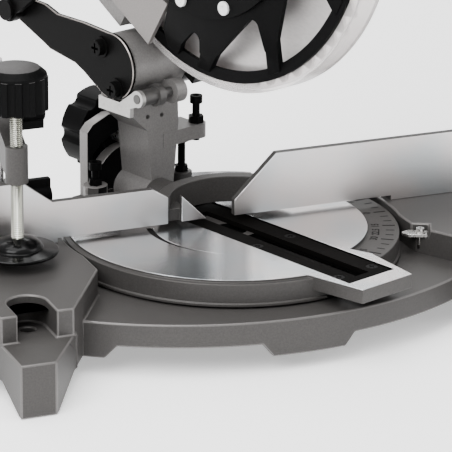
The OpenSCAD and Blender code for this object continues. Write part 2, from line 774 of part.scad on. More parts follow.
stop_d = 5;
stop_head_r = 1.65 * stop_d / 2;
stop_boss = 9;
zero_boss = 6;
function tilted(p) = [
    p[0] * cos(bevel_max) - p[1] * sin(bevel_max),
    p[1] * cos(bevel_max) + p[0] * sin(bevel_max)
];
flank_foot = tilted([post_off - post_foot_w / 2, 0]);
flank_top = tilted([post_off - post_col_w / 2, col_top]);
flank_part = (-stop_x + stop_head_r - flank_foot[0]) / (flank_top[0] - flank_foot[0]);
stop_top = flank_foot[1] + flank_part * (flank_top[1] - flank_foot[1]) - 2 * free_fit;
zero_top = lug_z - free_fit;

module stop_screw(top) translate([0, 0, table_h - 7]) cap_screw(stop_d, top + 7 - stop_d);

module bevel_stop_bolts() color(black) in_table() {
    translate([-stop_x, stop_y, 0]) stop_screw(stop_top);
    translate([zero_x, zero_y, 0]) stop_screw(zero_top);
}

module bevel_stop_nuts() color(black) in_table() {
    translate([-stop_x, stop_y, table_h + stop_boss]) nut(stop_d, run_fit);
    translate([zero_x, zero_y, table_h + zero_boss]) nut(stop_d, run_fit);
}

// Height of the bevel shaft's hexagon head
shaft_head = 4;
module bevel_shaft() color(steel) in_table() translate([0, 0, table_h]) {
    bar_y(post_front - free_fit - 14, quad_back + 2, bevel_d / 2);
    translate([0, quad_back + run_fit, 0]) rotate([-90, 0, 0])
        cylinder(h = shaft_head, d = 1.7 * bevel_d, $fn = 6);
}

// Bevel arm

lug_r = 6.4;
latch_seat = 3;
latch_seat_l = 8;
latch_seat_r = 7.8;
face_holes = [[-8.3, 55], [3.6, 54]];
face_hole_r = 1.5;
module stud_place() translate([quad_r * cos(stud_a), 0, quad_r * sin(stud_a)]) children();
module post_2d() {
    polygon([
        [post_off - post_foot_w / 2, 0], [post_off - post_col_w / 2, col_top], [-block_left, block_z],
        [-block_left, block_top], [-block_left + 6, pivot_z], [barrel_right - 4, pivot_z],
        [post_off + post_col_w / 2, col_top], [post_off + post_foot_w / 2, 0]
    ]);
}

module bevel_post() color(dark_grey) in_table() translate([0, 0, table_h]) difference() {
    union() {
        plate_y(post_front, post_depth) post_2d();
        bar_y(post_front, post_back, foot_r);
        translate([0, pivot_y, pivot_z]) bar_x(-barrel_left, barrel_right, barrel_r);
        translate([depth_x, depth_y, lug_z]) cylinder(h = lug_t, r = lug_r);
        translate([post_off, depth_y - lug_r + 1, lug_z])
            cube([depth_x - post_off, zero_y - depth_y + 2 * lug_r - 2, lug_t]);
        translate([0, latch_y, latch_z]) bar_x(latch_seat, latch_seat + latch_seat_l, latch_seat_r);
        translate([latch_seat, latch_y, latch_z - latch_seat_r])
            cube([latch_seat_l, post_front - latch_y + 1, 1.8 * latch_seat_r]);
    }
    for (p = face_holes) translate([p[0], 0, p[1]]) bar_y(post_front - 1, post_front + 6, face_hole_r);
    bar_y(post_front - 1, post_back + 1, bevel_d / 2 + run_fit);
    translate([0, pivot_y, pivot_z]) bar_x(-barrel_left - 1, barrel_right + 1, pivot_d / 2 + run_fit);
    translate([0, pivot_y, pivot_z]) bar_x(barrel_right - spring_len, barrel_right + 1, spring_r + 1.5);
    translate([0, latch_y, latch_z]) bar_x(0, latch_seat + latch_seat_l + 1, latch_r + run_fit);
    translate([depth_x, depth_y, lug_z - 1]) cylinder(h = lug_t + 2, d = stop_d + 2 * run_fit);
    stud_place() bar_y(post_back - stud_hold - 1, post_back + 1, stud_d / 2 + run_fit);
    bracket_screw_places() bar_x(-2, 14, bracket_screw_d / 2 + run_fit);
    latch_screw_holes();
}

// Torsion spring round the pivot shaft, inside the barrel's right end
spring_r = 11.5;
spring_wire = 2.4;
spring_turns = 5;
spring_len = 19;
spring_steps = 8;
spring_sides = 6;
spring_pitch = (spring_len - spring_wire - 0.4) / spring_turns;
function spring_point(t) = [spring_pitch * t, spring_r * cos(360 * t), spring_r * sin(360 * t)];
spring_n = spring_turns * spring_steps;
spring_points = [
    for (i = [0 : spring_n], k = [0 : spring_sides - 1])
        let (t = i / spring_steps, a = 360 * k / spring_sides)
        spring_point(t) + spring_wire / 2 * [sin(a), cos(a) * cos(360 * t), cos(a) * sin(360 * t)]
];
spring_faces = concat(
    [[for (k = [0 : spring_sides - 1]) k]],
    [for (i = [0 : spring_n - 1], k = [0 : spring_sides - 1])
        let (j = (k + 1) % spring_sides, p = i * spring_sides)
        [p + k, p + spring_sides + k, p + spring_sides + j]],
    [for (i = [0 : spring_n - 1], k = [0 : spring_sides - 1])
        let (j = (k + 1) % spring_sides, p = i * spring_sides)
        [p + k, p + spring_sides + j, p + j]],
    [[for (k = [spring_sides - 1 : -1 : 0]) spring_n * spring_sides + k]]
);

spring_x = barrel_right - spring_len + spring_wire / 2 + 0.2;
module return_spring() color(steel) in_pivot() translate([spring_x, 0, 0])
    polyhedron(spring_points, spring_faces);

module head_shaft() color(steel) in_pivot() {
    bar_x(-barrel_left + run_fit, hub_x + hub_w + 6, pivot_d / 2);
    translate([hub_x + hub_w + run_fit, 0, 0]) rotate([0, 90, 0])
        cylinder(h = 5, d = 1.6 * pivot_d, $fn = 6);
}

module bevel_lock_stud() color(steel) in_table() translate([0, 0, table_h])
    stud_place() bar_y(post_back - stud_hold, quad_back + stud_hold, stud_d / 2);

lock_neck = 5;
lock_h = 20;
lock_lobes = 7;
lock_bite = 5;
module bevel_lock_knob() color(black) in_table() translate([0, quad_back + free_fit, table_h])
    stud_place() rotate([-90, 0, 0]) difference() {
        union() {
            cylinder(h = lock_neck + 2, r = 0.45 * lock_r);
            translate([0, 0, lock_neck]) scalloped(lock_r, lock_h, lock_lobes, lock_bite);
            translate([0, 0, lock_neck + lock_h]) cylinder(h = 3, r = 0.6 * lock_r);
        }
        translate([0, 0, -1]) cylinder(h = stud_hold + 2, d = stud_d + 2 * run_fit);
    }

// Latch: a plate on the block's left face carries a pull pin

latch_plate_t = 3;
latch_top = pivot_z - bracket_r - 2 * free_fit;
latch_screw_d = 4;
module latch_2d() {
    translate([post_front - 2, block_z]) square([post_depth + 1, latch_top - block_z]);
    polygon([
        [post_front + 8, block_z + 2], [post_front + 8, latch_top],
        [latch_y + 2, latch_z + 5.2], [latch_y - 4, latch_z - 3.5]
    ]);
    translate([latch_y, latch_z]) circle(5.5);
}
module latch_screw_holes() for (y = [post_front + 8, post_back - 5])
    translate([-block_left, y, block_z + 4.5]) bar_x(-latch_plate_t - 1, 9, latch_screw_d / 2 + run_fit);

module latch_plate() color(machined) in_table() translate([0, 0, table_h]) {
    difference() {
        plate_x(-block_left - latch_plate_t, latch_plate_t) latch_2d();
        translate([0, latch_y, latch_z]) bar_x(-block_left - 5, -block_left + 5, latch_r + run_fit);
        latch_screw_holes();
    }
    for (y = [post_front + 8, post_back - 5]) translate([-block_left, y, block_z + 4.5])
        bar_x(-latch_plate_t, 8, latch_screw_d / 2);
}

latch_disc = -11;
module latch_pin() color(black) in_table() translate([0, latch_y, table_h + latch_z]) {
    bar_x(-block_left - latch_plate_t - 0.4, latch_seat - free_fit, latch_r);
    bar_x(-block_left + free_fit, latch_disc, 5.2);
    bar_x(latch_disc, latch_disc + 5, 7.2);
}

// Depth stop

module depth_stop_bolt() color(black) in_table() translate([depth_x, depth_y, table_h + lug_z - 2.5])
    cap_screw(stop_d, depth_top - lug_z + 2.5 - stop_d);

module depth_stop_nut() color(black) in_table() translate([depth_x, depth_y, table_h + lug_z + lug_t])
    nut(stop_d + 0.8, run_fit - 0.4);

// Guard bracket: a plate on the barrel's left end with a tail that carries the link

bracket_x = -barrel_left - bracket_t;
bracket_end_r = 9;
bracket_tail = [
    [-4, 21.2], [27, 23.2], [53.4, 23.1], [66, 27], [link_y - 6, link_z + 8], [link_y + 6, link_z - 7],
    [67, 0.7], [61, -2], [35.6, -5.8], [26.6, -9.8], [14, -17]
];
bracket_screw_d = 6;
bracket_screws_at = [[8.9, 11], [-6.1, -13.6]];
module bracket_screw_places() for (p = bracket_screws_at)
    translate([-barrel_left, pivot_y + p[0], pivot_z + p[1]]) children();

module guard_bracket() color(black) in_pivot() difference() {
    union() {
        bar_x(bracket_x, bracket_x + bracket_t, bracket_r);
        plate_x(bracket_x, bracket_t) polygon(bracket_tail);
        translate([0, link_y, link_z]) bar_x(bracket_x, bracket_x + bracket_t, bracket_end_r);
    }
    translate([0, link_y, link_z]) bar_x(bracket_x - 1, bracket_x + bracket_t + 1, 4 + run_fit);
    for (p = bracket_screws_at) translate([0, p[0], p[1]])
        bar_x(bracket_x - 1, bracket_x + bracket_t + 1, bracket_screw_d / 2 + run_fit);
}

module bracket_screws() color(black) in_table() translate([0, 0, table_h]) bracket_screw_places()
    translate([-bracket_t, 0, 0]) rotate([0, -90, 0]) pan_screw(bracket_screw_d, bracket_t + 12, 1.4);

link_gap = 0.8;
link_x = -upper_left - link_gap - link_t;
module link_pin() color(steel) in_pivot() translate([0, link_y, link_z]) {
    bar_x(link_x - free_fit, bracket_x + bracket_t, 4);
    bar_x(link_x - 3, link_x - free_fit, 7);
    bar_x(link_x + link_t + free_fit, bracket_x, 7);
}

// Link bar between the bracket and the lower guard's pin
guard_pin_y = -head_l * cos(head_rest) - link_r * sin(link_a - 180);
guard_pin_z = head_l * sin(head_rest) + link_r * cos(link_a - 180);
link_len = norm([guard_pin_y - link_y, guard_pin_z - link_z]);
link_tilt = atan2(guard_pin_z - link_z, guard_pin_y - link_y);

module in_link() in_pivot() translate([0, link_y, link_z]) rotate([link_tilt, 0, 0]) children();
module guard_link() color(black) in_link() difference() {
    union() {
        plate_x(link_x, link_t) {
            circle(8.5);
            translate([0, -6]) square([link_len, 12]);
            translate([link_len, 0]) circle(8.5);
        }
        translate([0, link_len, 0]) bar_x(link_x - 2, link_x + 1, 6);
    }
    bar_x(link_x - 1, link_x + link_t + 1, 4 + run_fit);
}

// Head

guard_pin_d = 10;
arm_b = 17;
stop_edge = norm([pivot_y - depth_y - stop_head_r, pivot_z - depth_top]);
stop_b = -stop_edge + 2 * free_fit;

module head_arm() color(dark_grey) in_head() difference() {
    union() {
        bar_x(hub_x, hub_x + hub_w, barrel_r);
        plate_x(hub_x, hub_w) {
            translate([-head_l + case_r - 10, -arm_b]) square([head_l - case_r + 10, 2 * arm_b]);
            translate([-14, stop_b]) square([14, -stop_b]);
        }
        translate([0, -head_l, 0]) {
            plate_x(case_x, case_w) {
                circle(case_r);
                translate([motor_a, motor_b]) circle(motor_r);
                polygon([
                    [-case_r * 0.8, case_r * 0.55], [motor_a, motor_b + motor_r * 0.3],
                    [motor_a + motor_r, motor_b], [case_r, 0]
                ]);
            }
            bar_x(rim_right - rim_t - 0.5, case_x + 1, boss_r);
        }
    }
    bar_x(hub_x - 1, hub_x + hub_w + 1, pivot_d / 2 + run_fit);
    translate([0, -head_l, 0]) {
        bar_x(gear_x - 2, case_x + case_w + 1, gear_r + 3);
        bar_x(0, case_x + case_w, spindle_r + run_fit);
        translate([0, motor_a, motor_b]) bar_x(gear_x - 2, case_x + case_w + 1, motor_r - 8);
        translate([0, motor_a, motor_b]) bar_x(case_x + 2, gear_x, arm_shaft_r + run_fit);
    }
}

// Plate that closes the gear case on its right and carries the spindle's end
module gear_cover() color(dark_grey) in_spindle() difference() {
    plate_x(motor_x, cover_t) difference() {
        circle(case_r);
        translate([motor_a, motor_b]) circle(motor_r + free_fit);
    }
    bar_x(motor_x - 1, motor_x + 3, spindle_r + run_fit);
    translate([0, lock_pin_y, lock_pin_z]) bar_x(motor_x - 1, motor_x + cover_t + 1, lock_pin_r + run_fit);
}

spindle_r = 9;
arm_shaft_r = 6;
module spindle() color(steel) in_spindle() difference() {
    bar_x(-4, motor_x + 2, spindle_r);
    bar_x(-5, 10, 4 + run_fit);
}

// Gear blank with trapezoid teeth
module gear_2d(r, n, depth) polygon([
    for (i = [0 : n - 1], s = [[0, 0], [0.15, 1], [0.35, 1], [0.5, 0]])
        let (a = 360 * (i + s[0]) / n, q = r - depth + depth * s[1]) q * [cos(a), sin(a)]
]);

module spindle_gear() color(steel) in_spindle() difference() {
    plate_x(gear_x, gear_w) gear_2d(gear_r, 44, 2);
    bar_x(gear_x - 1, gear_x + gear_w + 1, spindle_r + run_fit);
}

module inner_flange() color(steel) in_spindle() difference() {
    union() {
        bar_x(blade_t / 2, 8, flange_r - 0.5);
        bar_x(-blade_t / 2, blade_t / 2 + 1, blade_bore_r - run_fit);
    }
    bar_x(-5, 9, spindle_r + run_fit);
}

module outer_flange() color(steel) in_spindle() difference() {
    bar_x(-4, -blade_t / 2, flange_r - 3);
    bar_x(-5, 0, spindle_r + run_fit);
}

module arbor_bolt() color(black) in_spindle() {
    bar_x(-4, 8, 4);
    translate([-7.6, 0, 0]) rotate([0, 90, 0]) cylinder(h = 3.6, r = 11, $fn = 6);
}

// Blade: a steel disc with a row of hooked teeth
gullet = 7;
tooth = [[0, 0], [0.06, 0.35], [0.3, 1], [0.55, 0.95], [0.86, 0.25], [0.95, 0]];
module blade() color(steel) in_spindle() difference() {
    plate_x(-blade_t / 2, blade_t) polygon([
        for (i = [0 : teeth - 1], s = tooth)
            let (a = 360 * (i + s[0]) / teeth, q = blade_r - gullet + gullet * s[1]) q * [cos(a), -sin(a)]
    ]);
    bar_x(-blade_t, blade_t, blade_bore_r);
}

// Guards

lower_from = -185;
lower_to = -5;
arms_from = -170;

// Point round the spindle at radius r, angle a counted from straight down towards the front
function down_point(r, a) = r * [sin(head_rest - a), -cos(head_rest - a)];

// Point where the line from e touches the circle of radius q round c, on the side s
function touch(e, c, q, s) =
    let (d = e - c, l = norm(d), b = acos(q / l), u = d / l)
    c + q * [u[0] * cos(b) - s * u[1] * sin(b), u[1] * cos(b) + s * u[0] * sin(b)];

// Turn from direction b to direction a, between -180 and 180
function turn(a, b) = let (d = a - b) d - 360 * round(d / 360);

// Window between two arms: its base angles on the ring, the round of its top, and its waist at the bend
window_round = 4.3;
window_n = 8;
bend_r = 107;
module guard_window(a0, a1, top_r, top_a, waist_a) {
    c = down_point(top_r, top_a);
    waist = down_point(bend_r + 1.3, waist_a);
    t0 = touch(down_point(ring_r, a0), c, window_round, 1) - c;
    t1 = touch(waist, c, window_round, -1) - c;
    inward = atan2(-c[1], -c[0]);
    d0 = turn(atan2(t0[1], t0[0]), inward);
    d1 = turn(atan2(t1[1], t1[0]), inward);
    polygon(concat(
        [for (i = [0 : window_n]) let (d = inward + d0 + (d1 - d0) * i / window_n)
            c + window_round * [cos(d), sin(d)]],
        [waist],
        [for (i = [window_n : -1 : 0]) down_point(ring_r, a0 + (a1 - a0) * i / window_n)]
    ));
}

window_pitch = 36.4;
module guard_windows() {
    guard_window(-17.5, -8.5, 99.5, -5, -2.9);
    guard_window(-4, 22, 91.3, 29.6, 29.5);
    for (i = [0 : 2]) rotate(-window_pitch * i) guard_window(27, 58, 91.3, 62.5, 65.8);
}

// Dished arms: a flange behind the hub, a cone out to the bend, then down on to the ring
bend_x = plate_x0 - 0.58 * dish;
arms_end = ring_r - 3;
flange_x = hub_face + hub_t;
flange_in = hub_r - 16;
arms_profile = [
    [flange_in + 4, flange_x + 0.2], [hub_r + 1, flange_x + 0.2], [bend_r, bend_x],
    [arms_end, plate_x0 - 0.6], [arms_end, plate_x0 + 1.2], [arms_end - 4, plate_x0 + 1.2],
    [bend_r - 1.5, bend_x + guard_plate_t], [hub_r, flange_x + guard_plate_t + 0.2],
    [flange_in + 4, flange_x + guard_plate_t - 0.4]
];
module lower_guard() color(black) in_spindle() {
    difference() {
        union() {
            plate_x(flange_x, guard_plate_t) difference() {
                circle(hub_r - 1);
                circle(flange_in);
            }
            sector_x(arms_from, lower_to) polygon(arms_profile);
        }
        plate_x(hub_face, dish + guard_plate_t) guard_windows();
        guard_screw_places() bar_x(-1, guard_plate_t + 1, guard_screw_d / 2 + run_fit);
    }
    sector_x(lower_from, lower_to) translate([ring_r - ring_w, plate_x0]) square([ring_w, guard_plate_t]);
}

module guard_rim() color(clear) in_spindle() difference() {
    sector_x(lower_from, lower_to) union() {
        translate([guard_r - 13, rim_x]) square([13, rim_t]);
        translate([guard_r - rim_t, rim_x]) square([rim_t, rim_right - rim_x]);
        translate([boss_r + run_fit, rim_right - rim_t]) square([guard_r - boss_r - run_fit, rim_t]);
    }
}

link_pin_at = down_point(link_r, -link_a);

module guard_hub() color(black) in_spindle() {
    difference() {
        plate_x(hub_face, hub_t) circle(hub_r);
        guard_screw_places() bar_x(-hub_t - 1, 1, guard_screw_d / 2 + run_fit);
    }
    translate([0, link_pin_at[0], link_pin_at[1]])
        bar_x(link_x + link_t + free_fit, hub_face + 0.5, guard_pin_d / 2);
    bar_x(hub_face - 2.5, hub_face + 0.5, 40);
}

guard_screw_d = 4;
guard_screw_r = 75.4;
guard_screw_a = -11;
guard_screw_n = 12;
module guard_screw_places() for (i = [0 : guard_screw_n - 1])
    let (p = down_point(guard_screw_r, guard_screw_a + 360 / guard_screw_n * i))
    translate([flange_x, p[0], p[1]]) children();

// Low round heads with a socket
module guard_screws() color(machined) in_spindle() guard_screw_places() difference() {
    union() {
        bar_x(-hub_t - 1, guard_plate_t, guard_screw_d / 2);
        bar_x(-hub_t - 2, -hub_t, 1.08 * guard_screw_d);
    }
    bar_x(-hub_t - 3, -hub_t - 0.8, 0.4 * guard_screw_d);
}

upper_from = -4;
lip = 0.5;
upper_to = 148;
tail_a = 32;
tail_b = 14.5;
tail_l = 40;
tail_h = 66;
step_a = 36;
module upper_wall_2d(inner) difference() {
    union() {
        intersection() {
            circle(upper_r - upper_t / 2, $fn = 128);
            translate([-upper_r, -tail_b]) square([head_l - tail_a + upper_r, 2 * upper_r]);
        }
        translate([head_l - tail_a - tail_l, -tail_b]) square([tail_l, tail_h]);
    }
    circle(inner);
}

// Part of the left wall between two angles, counted from the back upwards
module left_wall_2d(a0, a1) intersection() {
    upper_wall_2d(hub_r + 6);
    polygon(concat(
        [[0, 0]],
        [for (i = [0 : 8]) let (a = a0 + (a1 - a0) * i / 8) 2 * upper_r * [cos(a), sin(a)]]
    ));
}

// The left wall steps out over the lower guard's dish, and in again at the tail
module upper_guard() color(champagne) in_spindle() {
    plate_x(-upper_x, upper_t) left_wall_2d(-20, step_a);
    plate_x(-upper_left, upper_left - upper_x + upper_t) left_wall_2d(step_a - 1.5, step_a + 0.5);
    plate_x(-upper_left, upper_t) left_wall_2d(step_a, 190);
    plate_x(upper_x - upper_t, upper_t) upper_wall_2d(boss_r + 6);
    sector_x(upper_from, upper_to) translate([upper_r - upper_t, -upper_left + lip])
        square([upper_t, upper_left + upper_x - 2 * lip]);
}

// Motor

module in_motor() in_spindle() translate([0, motor_a, motor_b]) children();

module motor_housing() color(black) in_motor() difference() {
    bar_x(motor_x, motor_x + motor_l, motor_r);
    bar_x(motor_x - 1, motor_x + motor_l + 1, motor_r - 4);
    translate([brush_x, 0, 0]) rotate([90, 0, 0])
        cylinder(h = 2 * motor_r + 2, r = brush_r + run_fit, center = true);
}

module motor_end_cap() color(black) in_motor() difference() {
    union() {
        bar_x(motor_x + motor_l, motor_x + motor_l + cap_l, motor_r - 2);
        bar_x(motor_x + motor_l + cap_l, motor_x + motor_l + cap_l + 3, motor_r - 8);
    }
    bar_x(motor_x + motor_l - 1, motor_x + motor_l + cap_l - 3, motor_r - 6);
    bar_x(motor_x, motor_x + motor_l + cap_l, arm_shaft_r + run_fit);
    for (i = [0 : 11]) rotate([30 * i, 0, 0]) translate([motor_x + motor_l + 4, -1.5, motor_r - 8])
        cube([cap_l - 8, 3, 10]);
}

brush_r = 7;
brush_x = motor_x + motor_l - 22;
module brush_caps() color(black) in_motor() for (s = [0, 180]) rotate([s, 0, 0])
    translate([brush_x, 0, 0]) rotate([90, 0, 0]) difference() {
        translate([0, 0, motor_r - 5]) cylinder(h = 6, r = brush_r);
        translate([0, 0, motor_r + 0.6]) cube([10, 1.4, 2], center = true);
    }

// Fan, core and commutator on the armature's shaft
fan_x = 8;
fan_w = 10;
core_x = 26;
core_l = 56;
core_r = 24;
comm_x = 88;
comm_l = 14;
comm_r = 14;
module armature() color(steel) in_motor() {
    bar_x(case_x + 2.5, motor_x + motor_l + cap_l - 1, arm_shaft_r);
    plate_x(gear_x, gear_w) gear_2d(pinion_r, 10, 2);
    bar_x(motor_x + fan_x, motor_x + fan_x + fan_w, motor_r - 9);
    bar_x(motor_x + core_x, motor_x + core_x + core_l, core_r);
    bar_x(motor_x + comm_x, motor_x + comm_x + comm_l, comm_r);
}

// Spindle lock: a sprung button on the gear cover
cover_t = 5;
lock_travel = 2.5;
lock_pin_y = -28;
lock_pin_z = -14;
lock_pin_r = 4;
module spindle_lock() color(black) in_spindle() translate([0, lock_pin_y, lock_pin_z]) {
    bar_x(gear_x + gear_w + lock_travel + free_fit, motor_x + cover_t + lock_travel + free_fit, lock_pin_r);
    bar_x(motor_x + cover_t + lock_travel + free_fit, motor_x + cover_t + lock_travel + 6, 2 * lock_pin_r);
}

// Handle: two halves of a closed loop, with the trigger inside

module handle_2d() difference() {
    union() {
        rounded_box_2d(-handle_a1, handle_b0, -handle_a0, handle_b1, handle_round);
        polygon([
            [-handle_a0 - 36, handle_b0], [-handle_a0 - 26, handle_b0 - 14],
            [-handle_a0 + 46, handle_b1 - 28], [-handle_a0 + 38, handle_b1 - 14],
            [-handle_a0 - handle_round, handle_b1]
        ]);
    }
    rounded_box_2d(-handle_a1 + grip_t, handle_b0 + 24, -handle_a0 - 22, handle_b1 - 22, 12);
    circle(upper_r + free_fit, $fn = 128);
}

module handle_cuts() {
    trigger_pocket();
    button_pocket();
    handle_screw_places() bar_x(-handle_t, handle_t, 2 + run_fit);
    gland_place() translate([0, 0, -14]) cylinder(h = 20, r = gland_r + run_fit);
}

module handle_left() color(black) in_spindle() difference() {
    plate_x(handle_x - handle_t / 2, handle_t / 2) handle_2d();
    handle_cuts();
}

module handle_right() color(black) in_spindle() difference() {
    plate_x(handle_x, handle_t / 2) handle_2d();
    handle_cuts();
}

handle_screws_at = [
    [-handle_a1 + 14, handle_b0 + 18], [-handle_a1 + grip_t, handle_b1 - 11],
    [-handle_a0 - 11, handle_b1 - 14]
];
module handle_screw_places() for (p = handle_screws_at) translate([handle_x, p[0], p[1]]) children();

module handle_screws() color(steel) in_spindle() handle_screw_places() {
    bar_x(-handle_t / 2 + 3, handle_t / 2 + 1, 2);
    bar_x(handle_t / 2, handle_t / 2 + 1.6, 3.6);
}

trigger_w = 14;
trigger_len = 34;
trigger_y = -handle_a1 + grip_t;
trigger_z = (handle_b0 + handle_b1) / 2 + 14;
trigger_pin = 3;
trigger_half = trigger_w / 2 + trigger_pin;
module trigger_pocket() {
    translate([handle_x - trigger_w / 2 - free_fit, trigger_y - 16, trigger_z - trigger_len - 1])
        cube([trigger_w + 2 * free_fit, 25, trigger_len + 6.4]);
    translate([handle_x, trigger_y - 5, trigger_z])
        bar_x(-trigger_half - free_fit, trigger_half + free_fit, trigger_pin + run_fit);
}

module trigger() color(black) in_spindle() {
    translate([handle_x, trigger_y - 5, trigger_z])
        bar_x(-trigger_half, trigger_half, trigger_pin);
    plate_x(handle_x - trigger_w / 2, trigger_w) union() {
        translate([trigger_y - 5, trigger_z]) circle(5);
        polygon([
            [trigger_y - 9, trigger_z], [trigger_y - 8, trigger_z - trigger_len + 4],
            [trigger_y - 2, trigger_z - trigger_len], [trigger_y + 7, trigger_z - trigger_len + 2],
            [trigger_y + 3, trigger_z - 16], [trigger_y, trigger_z]
        ]);
    }
}

button_r = 6;
button_y = -handle_a1 + 14;
button_z = handle_b1 - 21;
module button_pocket() translate([handle_x, button_y, button_z])
    bar_x(-handle_t, -handle_t / 2 + 10, button_r + free_fit);

module lock_off_button() color([0.55, 0.08, 0.06]) in_spindle()
    translate([handle_x - handle_t / 2, button_y, button_z]) bar_x(-4, 5, button_r);

gland_r = 8;
module gland_place() translate([handle_x, -handle_a0 - 44, handle_b1]) children();
module cord_gland() color(black) in_spindle() gland_place() difference() {
    union() {
        translate([0, 0, -13]) cylinder(h = 14, r = gland_r);
        cylinder(h = 4, r = gland_r + 3);
    }
    translate([0, 0, -14]) cylinder(h = 30, r = 4);
}

// Carry handle: a bail on top of the gear case and the guard
bail_t = 12;
bail_w = 15;
bail_front = -62;
bail_back = 52;
bail_top = 34;
bail_round = 20;
module carry_handle() color(black) in_spindle() plate_x(upper_x - bail_t, bail_t) difference() {
    rounded_box_2d(bail_front, upper_r - bail_top, bail_back, upper_r + bail_top, bail_round);
    rounded_box_2d(bail_front + bail_w, upper_r - 2 * bail_top, bail_back - bail_w,
        upper_r + bail_top - bail_w, bail_round - 6);
    circle(upper_r + 0.02, $fn = 128);
}

// Dust spout between the upper guard's cheeks, pointing back over the pivot
spout_b0 = 14;
spout_b1 = 44;
spout_r = 10;
spout_t = 2.5;
spout_l = 12;
spout_flange = 7;
spout_tab = 18;
spout_y = head_l - tail_a + 5;
spout_z = (spout_b0 + spout_b1) / 2 - 2;
module dust_port() color(black) in_spindle() difference() {
    union() {
        translate([-upper_x + upper_t, spout_y, spout_b0])
            cube([2 * (upper_x - upper_t), spout_flange, spout_b1 - spout_b0]);
        for (s = [0, 1]) mirror([s, 0, 0]) translate([upper_x - 2 * upper_t, spout_y - spout_tab, spout_b0])
            cube([upper_t, spout_tab + 2, spout_b1 - spout_b0]);
        translate([0, 0, spout_z]) bar_y(spout_y, spout_y + spout_l, spout_r);
    }
    translate([0, 0, spout_z]) bar_y(spout_y - 1, spout_y + spout_l + 1, spout_r - spout_t);
}

base_casting();
centre_bolt();
fence();
fence_bolts();
mitre_pointer();
pointer_screw();
clamp_post();
post_lock_knob();
clamp_arm();
clamp_thumb_knob();
clamp_pad();
clamp_rod();
clamp_knob();
turntable();
kerf_insert();
insert_screws();
bevel_shaft();
bevel_stop_bolts();
bevel_stop_nuts();
bevel_post();
bevel_lock_stud();
bevel_lock_knob();
latch_plate();
latch_pin();
depth_stop_bolt();
depth_stop_nut();
guard_bracket();
bracket_screws();
link_pin();
head_shaft();
return_spring();
head_arm();
gear_cover();
upper_guard();
motor_housing();
motor_end_cap();
brush_caps();
armature();
spindle();
spindle_gear();
inner_flange();
outer_flange();
arbor_bolt();
blade();
lower_guard();
guard_rim();
guard_hub();
guard_screws();
guard_link();
handle_left();
handle_right();
handle_screws();
trigger();
lock_off_button();
spindle_lock();
carry_handle();
dust_port();
cord_gland();
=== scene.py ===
import json
import math

import bmesh
import bpy
from mathutils import Matrix, Vector


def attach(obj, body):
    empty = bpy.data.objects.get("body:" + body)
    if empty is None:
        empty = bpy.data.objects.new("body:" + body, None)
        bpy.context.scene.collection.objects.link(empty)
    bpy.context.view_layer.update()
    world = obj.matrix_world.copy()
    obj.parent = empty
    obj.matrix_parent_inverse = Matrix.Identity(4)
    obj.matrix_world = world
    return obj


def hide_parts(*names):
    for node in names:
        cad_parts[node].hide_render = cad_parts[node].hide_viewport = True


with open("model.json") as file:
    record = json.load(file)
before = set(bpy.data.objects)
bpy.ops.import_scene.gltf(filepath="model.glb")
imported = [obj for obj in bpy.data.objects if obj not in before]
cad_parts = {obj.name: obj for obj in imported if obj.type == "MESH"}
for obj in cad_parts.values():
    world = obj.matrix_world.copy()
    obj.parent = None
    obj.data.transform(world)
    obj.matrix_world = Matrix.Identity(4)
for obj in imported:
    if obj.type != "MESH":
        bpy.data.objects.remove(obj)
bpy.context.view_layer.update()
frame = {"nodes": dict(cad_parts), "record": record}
nodes = frame["nodes"]
body_of = {n: b for b, ns in frame["record"]["behaviour"]["bodies"].items() for n in ns}

# Height of the table face in metres, and the swing of the table in the rest pose
TABLE = 0.050
MITRE = math.radians(20)
XS = Vector((math.cos(MITRE), math.sin(MITRE), 0))
YS = Vector((-math.sin(MITRE), math.cos(MITRE), 0))


def on_table(xs, ys, z):
    """A point of the swung table's frame, in millimetres above the table, as metres."""
    return (XS * xs + YS * ys + Vector((0, 0, z))) / 1000 + Vector((0, 0, TABLE))


# Materials

COAT_ROUGH = 0.15
BUMP_DEPTH = 0.0004
ROUGH_SPREAD = 0.06


